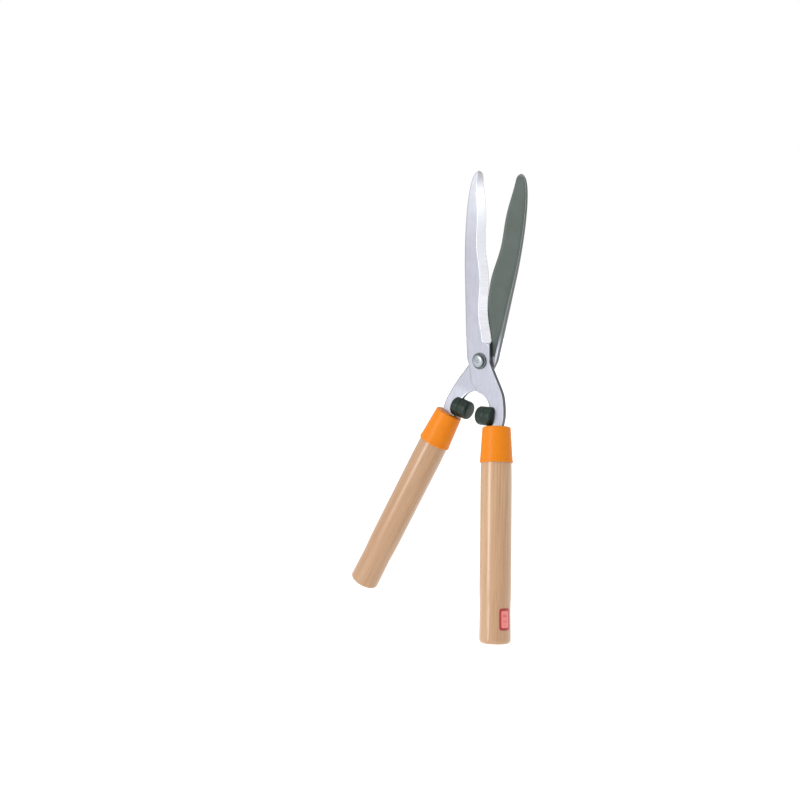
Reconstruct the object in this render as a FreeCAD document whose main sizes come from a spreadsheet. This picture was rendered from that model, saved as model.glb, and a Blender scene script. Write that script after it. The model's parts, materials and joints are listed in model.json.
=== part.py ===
import FreeCAD, Part
import math
import os
import re
import Sketcher
from FreeCAD import Placement, Rotation, Vector

# Hedge shears: two cranked, wavy-edged blades on one pivot bolt, with wooden
# handles, ferrules and rubber bumpers.  Each half is drawn in its own frame:
# pivot axis along Y at the origin, blade towards +Z, handle towards -Z, and the
# cutting edge and the handle on the side called "side" (+1 is +X, -1 is -X).
# The finished halves are then placed in the row frame, whose origin is the
# middle of the right-hand grip.

DIMENSIONS = [
    ("BladeLength", 203.0),        # pivot to tip
    ("TipOffset", 1.2),            # tip behind the pivot line
    ("SpineOffset", 20.0),         # spine behind the pivot line
    ("SpineBendHeight", 100.0),    # where the spine starts to curve to the tip
    ("EdgeOffsetRoot", 11.8),      # mean cutting edge ahead of the pivot line
    ("EdgeSlope", 0.0394),         # fall of that offset towards the tip
    ("WaveHeight", 2.0),           # half height of the wavy edge at the root
    ("WavePitch", 72.0),
    ("WaveCrest", 90.0),           # height of one crest
    ("WaveFade", 220.0),           # height at which the waves die out
    ("BevelWidth", 9.5),
    ("BevelStart", 20.0),
    ("EdgeLand", 0.5),
    ("PlateThickness", 5.0),
    ("TipThickness", 3.0),
    ("BladeGap", 0.1),             # between the two inner faces
    ("RicassoOffset", 13.2),
    ("TangWidth", 17.0),
    ("TangDepth", 5.0),            # plate inside the ferrule's top
    ("ThroatOffset", 17.0),        # inner edge of the tang
    ("CrankHeight", -37.2),        # where the tang bends towards the front
    ("CrankAngle", 14.22),
    ("SplayAngle", 9.33),
    ("OpeningAngle", 14.19),       # between the blades at rest
    ("FerruleTopX", 26.15),
    ("FerruleTopZ", -69.8),
    ("FerruleLength", 38.6),
    ("FerruleTopRadius", 15.3),
    ("FerruleEndRadius", 17.8),
    ("FerruleWall", 1.2),
    ("FerruleCap", 2.0),
    ("FerruleRound", 1.0),
    ("HandleLength", 228.2),       # from the ferrule's top to the end
    ("GripRadius", 17.0),
    ("GripStart", 62.0),
    ("GripEnd", 168.0),
    ("GripCentre", 115.0),
    ("WaistRadius", 16.4),
    ("WaistDepth", 188.0),
    ("EndRadius", 16.7),
    ("EndRound", 4.2),
    ("SpikeWidth", 9.0),
    ("SpikeLength", 68.0),
    ("SocketPlay", 0.05),
    ("LabelTop", 191.0),
    ("LabelBottom", 213.5),
    ("LabelThickness", 0.4),
    ("LabelSpan", 48.0),           # angle round the handle
    ("LabelTurn", -17.0),          # its middle, from +X towards the front
    ("BoltRadius", 4.0),
    ("BoltHeadRadius", 6.9),
    ("BoltHeadHeight", 3.6),
    ("BoltSquare", 8.0),
    ("PivotPlay", 0.05),
    ("WasherRadius", 9.0),
    ("WasherThickness", 1.5),
    ("SpringWasherRadius", 6.8),
    ("SpringWasherThickness", 1.8),
    ("SpringWasherSlit", 1.2),
    ("NutFlats", 13.0),
    ("NutHeight", 5.2),
    ("NutCollarRadius", 5.9),
    ("NutCollarHeight", 2.6),
    ("BoltTail", 1.4),             # bolt beyond the nut
    ("BumperHeight", -59.6),
    ("BumperFace", 0.4),           # rubber's free face, from the pivot line
    ("BumperRadius", 10.4),
    ("BumperFlangeRadius", 10.7),
    ("BumperFlange", 9.0),
    ("BumperLap", 5.5),            # rubber astride the tang, past its inner edge
    ("BumperSlotFloor", 3.2),      # slot's floor short of that edge
    ("BumperRound", 2.4),
    ("BumperBackRound", 1.8),
    ("BumperStepRound", 0.2),
    ("BumperPinRadius", 2.0),
    ("BumperPinInRubber", 9.0),
    ("BumperPinInTang", 8.0),
    ("BoltHeadRound", 1.2),
    ("BoltChamfer", 0.8),
    ("WasherChamfer", 0.3),
    ("CollarWall", 0.8),           # of the nut, round the nylon ring
    ("PinPlay", 0.01),
    ("PinEndGap", 0.2),            # between a bumper's pin and the end of its hole
    ("WoodDepth", 6.0),            # top of the wood below the ferrule's top
    ("SlitLean", 0.8),             # of the spring washer's slit
    ("SeatPlay", 0.02),
]

# Corners of a plate's outline as (ahead of the pivot line, up).
SHOULDER = [(-17.9, 4.0), (-16.6, -1.0), (-14.4, -8.0), (-13.3, -15.0)]
THROAT_CORNER = [(-13.3, -20.0), (-12.5, -23.4), (-10.4, -26.4)]
ARCH = [(-4.6, -33.4), (-3.4, -34.6), (0.0, -35.7), (4.0, -37.3), (8.0, -40.0), (11.2, -43.3),
        (13.6, -47.6), (15.2, -52.4), (16.3, -57.5)]
FLARE = [(35.0, -58.0), (32.3, -44.0), (28.2, -32.0), (22.2, -20.0), (16.2, -8.0)]
CHEEK_LOW, CHEEK_HIGH = -1.0, 17.0     # straight edge beside the pivot
NOSE = [(8.0, 0.0), (2.2, 1.7)]        # last of the wave and the nose: below the tip, ahead

WAVE_STATIONS = 16                 # points that carry the wavy edge
SPINE_STATIONS = 9                 # points that carry the curved spine
SPINE_POWER = 0.91                 # under 1 makes the spine's curve fuller than an ellipse
BEVEL_STATIONS = 14                # sections of the bevel's cutter
OVERHANG = 0.4                     # how far that cutter passes the plate, as a part of its slope
PLATE_OVERRUN = 5.0                # how far the edge-on shape runs past the tip
TANG_OVERRUN = 20.0                # the same, below the ferrule's top
BEVEL_OVERRUN = 4.0                # how far the bevel's cutter runs past the tip
REACH = 80.0                       # half width of the slabs that the plates are cut from
SHEET = "Dimensions"
SQUARE_HOLE = "BoltSquare + 2 * SeatPlay"
NODES = []

doc = FreeCAD.newDocument("HedgeShears")
sheet = doc.addObject("Spreadsheet::Sheet", SHEET)
for row, (alias, value) in enumerate(DIMENSIONS, start=1):
    sheet.set(f"A{row}", alias)
    sheet.set(f"B{row}", str(value))
    sheet.setAlias(f"B{row}", alias)
doc.recompute()


def linked(expression):
    """The expression with each alias written as a cell of the sheet."""
    return re.sub(r"([A-Z][A-Za-z]+)", SHEET + r".\1", expression)


def dim(expression):
    """The number that an expression of aliases gives now."""
    value = sheet.evalExpression(linked(expression))
    return float(getattr(value, "Value", value))


def bind(obj, **expressions):
    """Drive an object's properties from the sheet."""
    for prop, expression in expressions.items():
        obj.setExpression(prop, linked(expression))


# ---------------------------------------------------------------- frames

CRANK = math.radians(dim("CrankAngle"))
SPLAY = math.radians(dim("SplayAngle"))
CRANK_SLOPE = math.tan(CRANK) / math.cos(SPLAY)     # of the bent tang, in the YZ plane


def middle(side):
    """Y of the middle of a plate: the front half (+1) lies towards -Y."""
    return -side * (dim("PlateThickness") + dim("BladeGap")) / 2


def handle_frame(side):
    """Frame at the top of a ferrule: +Z up the handle, +Y square to the bent tang."""
    up = Vector(-side * math.sin(SPLAY) * math.cos(CRANK), math.sin(CRANK),
                math.cos(SPLAY) * math.cos(CRANK))
    across = Vector(0, 1, -CRANK_SLOPE)
    drop = (dim("CrankHeight") - dim("FerruleTopZ")) * CRANK_SLOPE
    corner = Vector(side * dim("FerruleTopX"), middle(side) - drop, dim("FerruleTopZ"))
    return Placement(corner, Rotation(Vector(), across, up, "ZYX"))


def along_handle(side, depth):
    """A point on a handle's axis, below the ferrule's top."""
    return handle_frame(side).multVec(Vector(0, 0, -depth))


ORIGIN = Placement(-along_handle(1, dim("GripCentre")), Rotation())
RIGHT = ORIGIN
LEFT = ORIGIN.multiply(Placement(Vector(), Rotation(Vector(0, 1, 0), dim("OpeningAngle"))))


def half_frame(side):
    """Where a half goes in the row frame."""
    return RIGHT if side > 0 else LEFT


# ---------------------------------------------------------------- helpers

def keep(obj, node, placement):
    """Name a finished sub-part and put it in its place."""
    obj.Label = node
    obj.Placement = placement
    NODES.append(obj)
    return obj


def origin_plane(body, role):
    return next(plane for plane in body.Origin.OriginFeatures if plane.Role == role)


def profile(body, role, corners):
    """A closed outline of straight runs; each corner's two sizes are expressions."""
    sketch = body.newObject("Sketcher::SketchObject", body.Name + "Profile")
    sketch.AttachmentSupport = [(origin_plane(body, role), "")]
    sketch.MapMode = "FlatFace"
    spots = [Vector(dim(across), dim(up), 0) for across, up in corners]
    count = len(spots)
    for here in range(count):
        sketch.addGeometry(Part.LineSegment(spots[here], spots[(here + 1) % count]), False)
    for here in range(count):
        sketch.addConstraint(Sketcher.Constraint("Coincident", here, 2, (here + 1) % count, 1))
    for here, corner in enumerate(corners):
        for kind, value, expression in zip(("DistanceX", "DistanceY"), spots[here], corner):
            number = sketch.addConstraint(Sketcher.Constraint(kind, -1, 1, here, 1, value))
            sketch.setExpression(f"Constraints[{number}]", linked(expression))
    return sketch


def turned(name, corners):
    """A body turned about its Z axis; corners are (radius, height)."""
    body = doc.addObject("PartDesign::Body", name)
    sketch = profile(body, "XZ_Plane", corners)
    turn = body.newObject("PartDesign::Revolution", name + "Turn")
    turn.Profile = sketch
    turn.ReferenceAxis = (sketch, ["V_Axis"])
    turn.Angle = 360
    doc.recompute()
    return body


def milled(name, corners, depth):
    """A body padded along +Z from an outline in its XY plane."""
    body = doc.addObject("PartDesign::Body", name)
    pad = body.newObject("PartDesign::Pad", name + "Pad")
    pad.Profile = profile(body, "XY_Plane", corners)
    bind(pad, Length=depth)
    doc.recompute()
    return body


def circles_at(shape, radius, height):
    """Names of a shape's round edges of one radius, about Z at one height."""
    found = []
    for number, edge in enumerate(shape.Edges, start=1):
        curve = edge.Curve
        if not isinstance(curve, Part.Circle) or not edge.isClosed():
            continue
        if abs(curve.Radius - radius) < 0.01 and abs(curve.Center.z - height) < 0.01:
            found.append(f"Edge{number}")
    return found


def soften(body, kind, size, *rims):
    """Fillet or chamfer the round edges given as (radius, height)."""
    tip = body.Tip
    edges = [edge for rim in rims for edge in circles_at(tip.Shape, dim(rim[0]), dim(rim[1]))]
    feature = body.newObject("PartDesign::" + kind, body.Name + kind + str(len(body.Group)))
    feature.Base = (tip, edges)
    bind(feature, **{"Radius" if kind == "Fillet" else "Size": size})
    doc.recompute()


def through(body, corners, depth):
    """Cut an outline in the XY plane through a body, both ways, and check that it cut."""
    before = body.Shape.Volume
    pocket = body.newObject("PartDesign::Pocket", body.Name + "Cut")
    pocket.Profile = profile(body, "XY_Plane", corners)
    pocket.Midplane = True
    bind(pocket, Length=depth)
    doc.recompute()
    assert body.Shape.Volume < before - 1, body.Name


def cylinder(name, radius, height, placement):
    tool = doc.addObject("Part::Cylinder", name)
    bind(tool, Radius=radius, Height=height)
    tool.Placement = placement
    return tool


def box(name, length, width, height, placement):
    tool = doc.addObject("Part::Box", name)
    bind(tool, Length=length, Width=width, Height=height)
    tool.Placement = placement
    return tool


def joined(kind, name, *parts):
    """A boolean of Part: a cut takes every later shape from the first."""
    result = doc.addObject("Part::" + kind, name)
    if kind == "MultiFuse":
        result.Shapes = list(parts)
    else:
        result.Base, result.Tool = parts
    doc.recompute()
    return result


# ---------------------------------------------------------------- blades

def edge_offset(height):
    """The wavy cutting edge: a straight slope with a cosine that fades to the tip."""
    fade = math.sqrt(max(0.0, 1 - height / dim("WaveFade")))
    wave = math.cos(2 * math.pi * (height - dim("WaveCrest")) / dim("WavePitch"))
    return dim("EdgeOffsetRoot") - dim("EdgeSlope") * height + dim("WaveHeight") * fade * wave


def plate_thickness(height):
    """Even up to the bevel's start, then an even taper to the tip."""
    start = dim("BevelStart")
    share = min(1.0, max(0.0, (height - start) / (dim("BladeLength") - start)))
    return dim("PlateThickness") + share * (dim("TipThickness") - dim("PlateThickness"))


def flat(side, points):
    """Points of an outline, as (ahead, up), on a half's side."""
    return [Vector(side * ahead, up, 0) for ahead, up in points]


def smooth(points):
    curve = Part.BSplineCurve()
    curve.interpolate(points)
    return curve


def runs(points):
    return [Part.LineSegment(here, there) for here, there in zip(points, points[1:])]


def front_outline(side):
    """Everything that shows of a half's plate from the front, from the tip round to the tip."""
    tip = (-dim("TipOffset"), dim("BladeLength"))
    bend = dim("SpineBendHeight")
    spine = []
    for step in range(SPINE_STATIONS):
        turn = math.pi / 2 * step / (SPINE_STATIONS - 1)
        ahead = tip[0] - (dim("SpineOffset") + tip[0]) * math.sin(turn) ** SPINE_POWER
        spine.append((ahead, bend + (tip[1] - bend) * max(0.0, math.cos(turn)) ** SPINE_POWER))
    half = dim("TangWidth") / 2
    lean = Vector(math.sin(SPLAY), -math.cos(SPLAY), 0)
    wide = Vector(math.cos(SPLAY), math.sin(SPLAY), 0)
    top = Vector(dim("FerruleTopX"), dim("FerruleTopZ"), 0)
    inner = top - wide * half
    outer = top + wide * half
    foot = lean * dim("TangDepth")
    heel = ARCH[-1:] + [(spot.x, spot.y) for spot in (inner, inner + foot, outer + foot, outer)]
    ricasso = dim("RicassoOffset")
    flare = [(outer.x, outer.y)] + FLARE + [(ricasso, CHEEK_LOW)]
    start = dim("BevelStart")
    wave = []
    for step in range(WAVE_STATIONS):
        height = start + (tip[1] - NOSE[0][0] - start) * step / (WAVE_STATIONS - 1)
        wave.append((edge_offset(height), height))
    cheek = [(ricasso, CHEEK_LOW), (ricasso, CHEEK_HIGH), wave[0]]
    nose = [wave[-1], (NOSE[1][1], tip[1] - NOSE[1][0]), tip]
    outline = [smooth(flat(side, spine))]
    outline += runs(flat(side, [spine[-1], SHOULDER[0]]))
    outline.append(smooth(flat(side, SHOULDER)))
    outline += runs(flat(side, [SHOULDER[-1], THROAT_CORNER[0]]))
    outline.append(smooth(flat(side, THROAT_CORNER)))
    outline += runs(flat(side, [THROAT_CORNER[-1], ARCH[0]]))
    outline.append(smooth(flat(side, ARCH)))
    outline += runs(flat(side, heel))
    outline.append(smooth(flat(side, flare)))
    outline += runs(flat(side, cheek))
    outline.append(smooth(flat(side, wave)))
    outline.append(smooth(flat(side, nose)))
    return outline


def side_outline(side):
    """The plate seen edge on, as (y, z): tapered blade, flat pivot, bent tang."""
    inner = -side * dim("BladeGap") / 2
    away = -side
    top = dim("BladeLength") + PLATE_OVERRUN
    start = dim("BevelStart")
    low = dim("FerruleTopZ") - TANG_OVERRUN
    bend = dim("CrankHeight")
    thick = dim("PlateThickness")
    mitre = thick / 2 * math.tan(math.atan(CRANK_SLOPE) / 2)

    def bent(offset, height):
        """A face of the bent tang: offset is its distance from the middle, towards +Y."""
        level = bend - offset / (thick / 2) * mitre
        return (middle(side) + offset + (height - level) * CRANK_SLOPE, height)

    near = thick / 2 * side
    return [(inner, top), (inner + away * plate_thickness(top), top),
            (inner + away * thick, start), (inner + away * thick, bend + near / (thick / 2) * mitre),
            bent(-near, low), bent(near, low), (inner, bend - near / (thick / 2) * mitre)]


def drawing(name, geometry, placement):
    sketch = doc.addObject("Sketcher::SketchObject", name)
    sketch.Placement = placement
    for curve in geometry:
        sketch.addGeometry(curve, False)
    return sketch


def slab(name, sketch):
    """A sketch pushed out both ways, far enough to cover the plate."""
    block = doc.addObject("Part::Extrusion", name)
    block.Base = sketch
    block.DirMode = "Normal"
    block.LengthFwd = REACH
    block.LengthRev = REACH
    block.Solid = True
    return block


def bevel_cutter(name, side):
    """Loft of triangles that grinds the outer face down to the wavy edge."""
    inner = -side * dim("BladeGap") / 2
    start = dim("BevelStart")
    sections = []
    for step in range(BEVEL_STATIONS):
        height = start + (dim("BladeLength") + BEVEL_OVERRUN - start) * step / (BEVEL_STATIONS - 1)
        edge = Vector(side * edge_offset(height), inner - side * dim("EdgeLand"), height)
        brow = Vector(side * (edge_offset(height) - dim("BevelWidth")),
                      inner - side * plate_thickness(height), height)
        slope = brow - edge
        tail = edge - slope * OVERHANG
        head = brow + slope * OVERHANG
        far = Vector(tail.x, head.y, height)
        section = doc.addObject("Part::Feature", f"{name}Section{step}")
        section.Shape = Part.makePolygon([tail, head, far, tail])
        sections.append(section)
    loft = doc.addObject("Part::Loft", name)
    loft.Sections = sections
    loft.Solid = True
    loft.Ruled = False
    return loft


def spike(name, side, play):
    """The tang's tail in the wood, or with play the hole that it is driven into."""
    width = f"SpikeWidth + 2 * {play}"
    thick = f"PlateThickness + 2 * {play}"
    length = f"SpikeLength - FerruleCap + {play}"
    corner = Vector(-dim(width) / 2, -dim(thick) / 2, -dim(f"SpikeLength + {play}"))
    place = handle_frame(side).multiply(Placement(corner, Rotation()))
    return box(name, width, thick, length, place)


def bumper_frame(side):
    """Frame on a bumper's axis at its free face, +Z towards the tang."""
    drop = (dim("CrankHeight") - dim("BumperHeight")) * CRANK_SLOPE
    face = Vector(side * dim("BumperFace"), middle(side) - drop, dim("BumperHeight"))
    return Placement(face, Rotation(Vector(0, 0, 1), Vector(side, 0, 0)))


def pin_place(side):
    depth = dim("ThroatOffset") - dim("BumperFace") - dim("BumperPinInRubber")
    return bumper_frame(side).multiply(Placement(Vector(0, 0, depth), Rotation()))


def blade(node, side):
    """One plate: outline and edge-on shape together, ground, drilled and tailed."""
    facing = Rotation(Vector(1, 0, 0), 90)
    edge_on = Rotation(Vector(0, 1, 0), Vector(0, 0, 1), Vector(1, 0, 0), "ZXY")
    front = slab(node + "Front", drawing(node + "Outline", front_outline(side), Placement(Vector(), facing)))
    corners = [Vector(y, z, 0) for y, z in side_outline(side)]
    edge = slab(node + "Edge", drawing(node + "Thickness", runs(corners + corners[:1]),
                                       Placement(Vector(), edge_on)))
    plate = joined("Common", node + "Plate", front, edge)
    ground = joined("Cut", node + "Ground", plate, bevel_cutter(node + "Bevel", side))
    tailed = joined("MultiFuse", node + "Tailed", ground, spike(node + "Spike", side, "0"))
    across = Placement(Vector(0, REACH / 2, 0), Rotation(Vector(1, 0, 0), 90))
    if side > 0:
        half = dim("BoltSquare / 2 + SeatPlay")
        place = Placement(Vector(-half, -REACH / 2, -half), Rotation())
        hole = box(node + "PivotHole", SQUARE_HOLE, str(REACH), SQUARE_HOLE, place)
    else:
        hole = cylinder(node + "PivotHole", "BoltRadius + PivotPlay", str(REACH), across)
    pivoted = joined("Cut", node + "Pivoted", tailed, hole)
    pin_hole = cylinder(node + "PinHole", "BumperPinRadius", "BumperPinInRubber + BumperPinInTang",
                        pin_place(side))
    drilled = joined("Cut", node, pivoted, pin_hole)
    return keep(drilled, node, half_frame(side))


# ---------------------------------------------------------------- handles

def ferrule(node, side):
    """Tapered plastic cup on the end of the wood, slotted for the tang."""
    body = turned(node, [("0", "0"), ("FerruleTopRadius", "0"), ("FerruleEndRadius", "-FerruleLength"),
                         ("FerruleEndRadius - FerruleWall", "-FerruleLength"),
                         ("FerruleTopRadius - FerruleWall", "-FerruleCap"), ("0", "-FerruleCap")])
    half = "(TangWidth / 2 + SocketPlay)"
    deep = "(PlateThickness / 2 + SocketPlay)"
    through(body, [(f"-{half}", f"-{deep}"), (half, f"-{deep}"), (half, deep), (f"-{half}", deep)],
            "2.2 * FerruleCap")
    soften(body, "Fillet", "FerruleRound", ("FerruleTopRadius", "0"))
    return keep(body, node, half_frame(side).multiply(handle_frame(side)))


def handle(node, side):
    """Turned wooden grip with a waist near its rounded end and a driven socket."""
    top = "-WoodDepth"
    body = turned(node + "Wood", [
        ("0", top),
        ("FerruleTopRadius - FerruleWall - 2 * SocketPlay", top),
        ("FerruleEndRadius - FerruleWall - SocketPlay", "-FerruleLength"),
        ("GripRadius", "-GripStart"),
        ("GripRadius", "-GripEnd"),
        ("WaistRadius", "-WaistDepth"),
        ("EndRadius", "-LabelBottom - 2"),
        ("EndRadius", "-HandleLength"),
        ("0", "-HandleLength")])
    soften(body, "Fillet", "EndRound", ("EndRadius", "-HandleLength"))
    socket = spike(node + "Socket", side, "SocketPlay")
    socket.Placement = handle_frame(side).inverse().multiply(socket.Placement)
    bored = joined("Cut", node, body, socket)
    return keep(bored, node, half_frame(side).multiply(handle_frame(side)))


def label(node, side):
    """Thin sticker that follows the handle's flare."""
    inner = "WaistRadius + 0.02"
    flare = "(EndRadius - WaistRadius) / (LabelBottom + 2 - WaistDepth)"
    high = f"{inner} + {flare} * (LabelTop - WaistDepth)"
    low = f"{inner} + {flare} * (LabelBottom - WaistDepth)"
    body = doc.addObject("PartDesign::Body", node)
    sketch = profile(body, "XZ_Plane", [
        (high, "-LabelTop"), (f"{high} + LabelThickness", "-LabelTop"),
        (f"{low} + LabelThickness", "-LabelBottom"), (low, "-LabelBottom")])
    turn = body.newObject("PartDesign::Revolution", node + "Turn")
    turn.Profile = sketch
    turn.ReferenceAxis = (sketch, ["V_Axis"])
    turn.Midplane = True
    bind(turn, Angle="LabelSpan")
    doc.recompute()
    spin = Placement(Vector(), Rotation(Vector(0, 0, 1), dim("LabelTurn")))
    return keep(body, node, half_frame(side).multiply(handle_frame(side)).multiply(spin))


# ---------------------------------------------------------------- bumpers

def bumper(node, side):
    """Rubber stop slotted astride the tang, with a flange and a blind hole for its pin."""
    back = "ThroatOffset - BumperFace + BumperLap"
    pin = "BumperPinRadius + PinPlay"
    blind = "ThroatOffset - BumperFace - BumperPinInRubber - PinEndGap"
    body = turned(node + "Turned", [
        ("0", "0"), ("BumperRadius", "0"), ("BumperRadius", f"{back} - BumperFlange"),
        ("BumperFlangeRadius", f"{back} - BumperFlange"), ("BumperFlangeRadius", back),
        (pin, back), (pin, blind), ("0", blind)])
    soften(body, "Fillet", "BumperRound", ("BumperRadius", "0"))
    soften(body, "Fillet", "BumperStepRound", ("BumperFlangeRadius", f"{back} - BumperFlange"))
    soften(body, "Fillet", "BumperBackRound", ("BumperFlangeRadius", back))
    tilt = Rotation(Vector(1, 0, 0), -math.degrees(math.atan(CRANK_SLOPE)))
    upright = Placement(bumper_frame(side).Base, tilt)
    start = side * dim("ThroatOffset - BumperSlotFloor - BumperFace")
    corner = Vector(start if side > 0 else start - dim("TangWidth"),
                    -dim("PlateThickness / 2 + SeatPlay"), -dim("BumperFlangeRadius") * 2)
    slot = box(node + "Slot", "TangWidth", "PlateThickness + 2 * SeatPlay", "4 * BumperFlangeRadius",
               upright.multiply(Placement(corner, Rotation())))
    slot.Placement = bumper_frame(side).inverse().multiply(slot.Placement)
    return keep(joined("Cut", node, body, slot), node, half_frame(side).multiply(bumper_frame(side)))


def bumper_pin(node, side):
    body = turned(node, [
        ("0", "0"), ("BumperPinRadius - PinPlay", "0"),
        ("BumperPinRadius - PinPlay", "BumperPinInRubber + BumperPinInTang - PinEndGap / 2"),
        ("0", "BumperPinInRubber + BumperPinInTang - PinEndGap / 2")])
    return keep(body, node, half_frame(side).multiply(pin_place(side)))


# ---------------------------------------------------------------- pivot

def pivot_place(height):
    """Frame on the pivot axis with +Z towards the back."""
    return RIGHT.multiply(Placement(Vector(0, height, 0), Rotation(Vector(1, 0, 0), -90)))


def hexagon(flats):
    """Corners of a nut's outline, as expressions."""
    corner = f"{flats} / 2"
    reach = f"{flats} * {1 / math.sqrt(3):.6f}"
    short = f"{flats} * {0.5 / math.sqrt(3):.6f}"
    return [(reach, "0"), (short, corner), (f"-{short}", corner), (f"-{reach}", "0"),
            (f"-{short}", f"-{corner}"), (short, f"-{corner}")]


FACE = "PlateThickness + BladeGap / 2"          # a plate's outer face, from the blades' meeting plane
NUT_SEAT = f"{FACE} + WasherThickness + SpringWasherThickness"


def pivot_bolt(node):
    """Low round head at the front, square neck in the front blade, plain shank behind."""
    under = f"{FACE} + WasherThickness"
    end = f"{NUT_SEAT} + NutHeight + NutCollarHeight + BoltTail"
    body = turned(node + "Turned", [
        ("0", f"-({under}) - BoltHeadHeight"), ("BoltHeadRadius", f"-({under}) - BoltHeadHeight"),
        ("BoltHeadRadius", f"-({under})"), ("BoltRadius", f"-({under})"),
        ("BoltRadius", end), ("0", end)])
    soften(body, "Fillet", "BoltHeadRound", ("BoltHeadRadius", f"-({under}) - BoltHeadHeight"))
    soften(body, "Chamfer", "BoltChamfer", ("BoltRadius", end))
    half = dim("BoltSquare") / 2
    corner = Vector(-half, -half, -dim(under) - 0.5)
    length = f"{under} + 0.5 - BladeGap"
    neck = box(node + "Neck", "BoltSquare", "BoltSquare", length, Placement(corner, Rotation()))
    return keep(joined("MultiFuse", node, body, neck), node, pivot_place(0))


def washer(node, outer, inner, thickness, height, hole=None):
    body = turned(node, [(inner, "0"), (outer, "0"), (outer, thickness), (inner, thickness)])
    soften(body, "Chamfer", "WasherChamfer", (outer, "0"), (outer, thickness))
    if hole:
        half = f"(({hole}) / 2)"
        through(body, [(f"-{half}", f"-{half}"), (half, f"-{half}"), (half, half), (f"-{half}", half)],
                f"3 * {thickness}")
    return keep(body, node, pivot_place(dim(height)))


def spring_washer(node):
    """Split ring under the nut, drawn flat as it is when tightened."""
    body = turned(node, [("BoltRadius + 0.1", "0"), ("SpringWasherRadius", "0"),
                         ("SpringWasherRadius", "SpringWasherThickness"),
                         ("BoltRadius + 0.1", "SpringWasherThickness")])
    slit = "SpringWasherSlit / 2"
    far = "SpringWasherRadius + 1"
    through(body, [("1", f"-{slit}"), (far, f"-{slit} - SlitLean"),
                   (far, f"{slit} - SlitLean"), ("1", slit)],
            "3 * SpringWasherThickness")
    return keep(body, node, pivot_place(dim(f"{FACE} + WasherThickness")))


def pivot_nut(node):
    """Lock nut: hexagon with a round collar that holds the nylon ring."""
    body = milled(node + "Hexagon", hexagon("NutFlats"), "NutHeight")
    collar = turned(node + "Collar", [("0", "NutHeight - 0.1"), ("NutCollarRadius", "NutHeight - 0.1"),
                                      ("NutCollarRadius", "NutHeight + NutCollarHeight"),
                                      ("0", "NutHeight + NutCollarHeight")])
    whole = joined("MultiFuse", node + "Blank", body, collar)
    bore = cylinder(node + "Bore", "BoltRadius + SeatPlay", "NutHeight + NutCollarHeight + 2",
                    Placement(Vector(0, 0, -1), Rotation()))
    seat = cylinder(node + "Seat", "NutCollarRadius - CollarWall", "NutCollarHeight",
                    Placement(Vector(0, 0, dim("NutHeight")), Rotation()))
    bored = joined("Cut", node + "Bored", whole, bore)
    return keep(joined("Cut", node, bored, seat), node, pivot_place(dim(NUT_SEAT)))


def nut_insert(node):
    outer = "NutCollarRadius - CollarWall - SeatPlay"
    body = turned(node, [("BoltRadius + SeatPlay", "0"), (outer, "0"),
                         (outer, "NutCollarHeight - 0.4"),
                         ("BoltRadius + SeatPlay", "NutCollarHeight - 0.4")])
    return keep(body, node, pivot_place(dim(f"{NUT_SEAT} + NutHeight + SeatPlay")))


# ---------------------------------------------------------------- assembly

blade("front_blade", 1)
blade("rear_blade", -1)
for name, hand in (("right", 1), ("left", -1)):
    ferrule(name + "_ferrule", hand)
    handle(name + "_handle", hand)
    bumper(name + "_bumper", hand)
    bumper_pin(name + "_bumper_pin", hand)
label("handle_label", 1)
pivot_bolt("pivot_bolt")
washer("front_washer", "WasherRadius", "BoltRadius", "WasherThickness",
       f"-({FACE}) - WasherThickness", SQUARE_HOLE)
washer("rear_washer", "WasherRadius", "BoltRadius + 0.1", "WasherThickness", FACE)
spring_washer("spring_washer")
pivot_nut("pivot_nut")
nut_insert("nut_insert")
doc.recompute()

for obj in doc.Objects:
    if "Invalid" in obj.State or "Error" in obj.State:
        raise RuntimeError(f"{obj.Label} failed: {obj.State}")
os.makedirs("parts", exist_ok=True)
for obj in NODES:
    if obj.Shape.isNull() or not obj.Shape.isValid() or not obj.Shape.Solids:
        raise RuntimeError(f"{obj.Label} has no valid solid")
    obj.Shape.exportStep(f"parts/{obj.Label}.step")
    extent = obj.Shape.BoundBox
    print(f"{obj.Label}: {len(obj.Shape.Solids)} solid, {obj.Shape.Volume:.0f} mm3,"
          f" z {extent.ZMin:.1f} to {extent.ZMax:.1f}")
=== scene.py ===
import json
import math

import bpy
import numpy as np
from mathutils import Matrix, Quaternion, Vector


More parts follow.
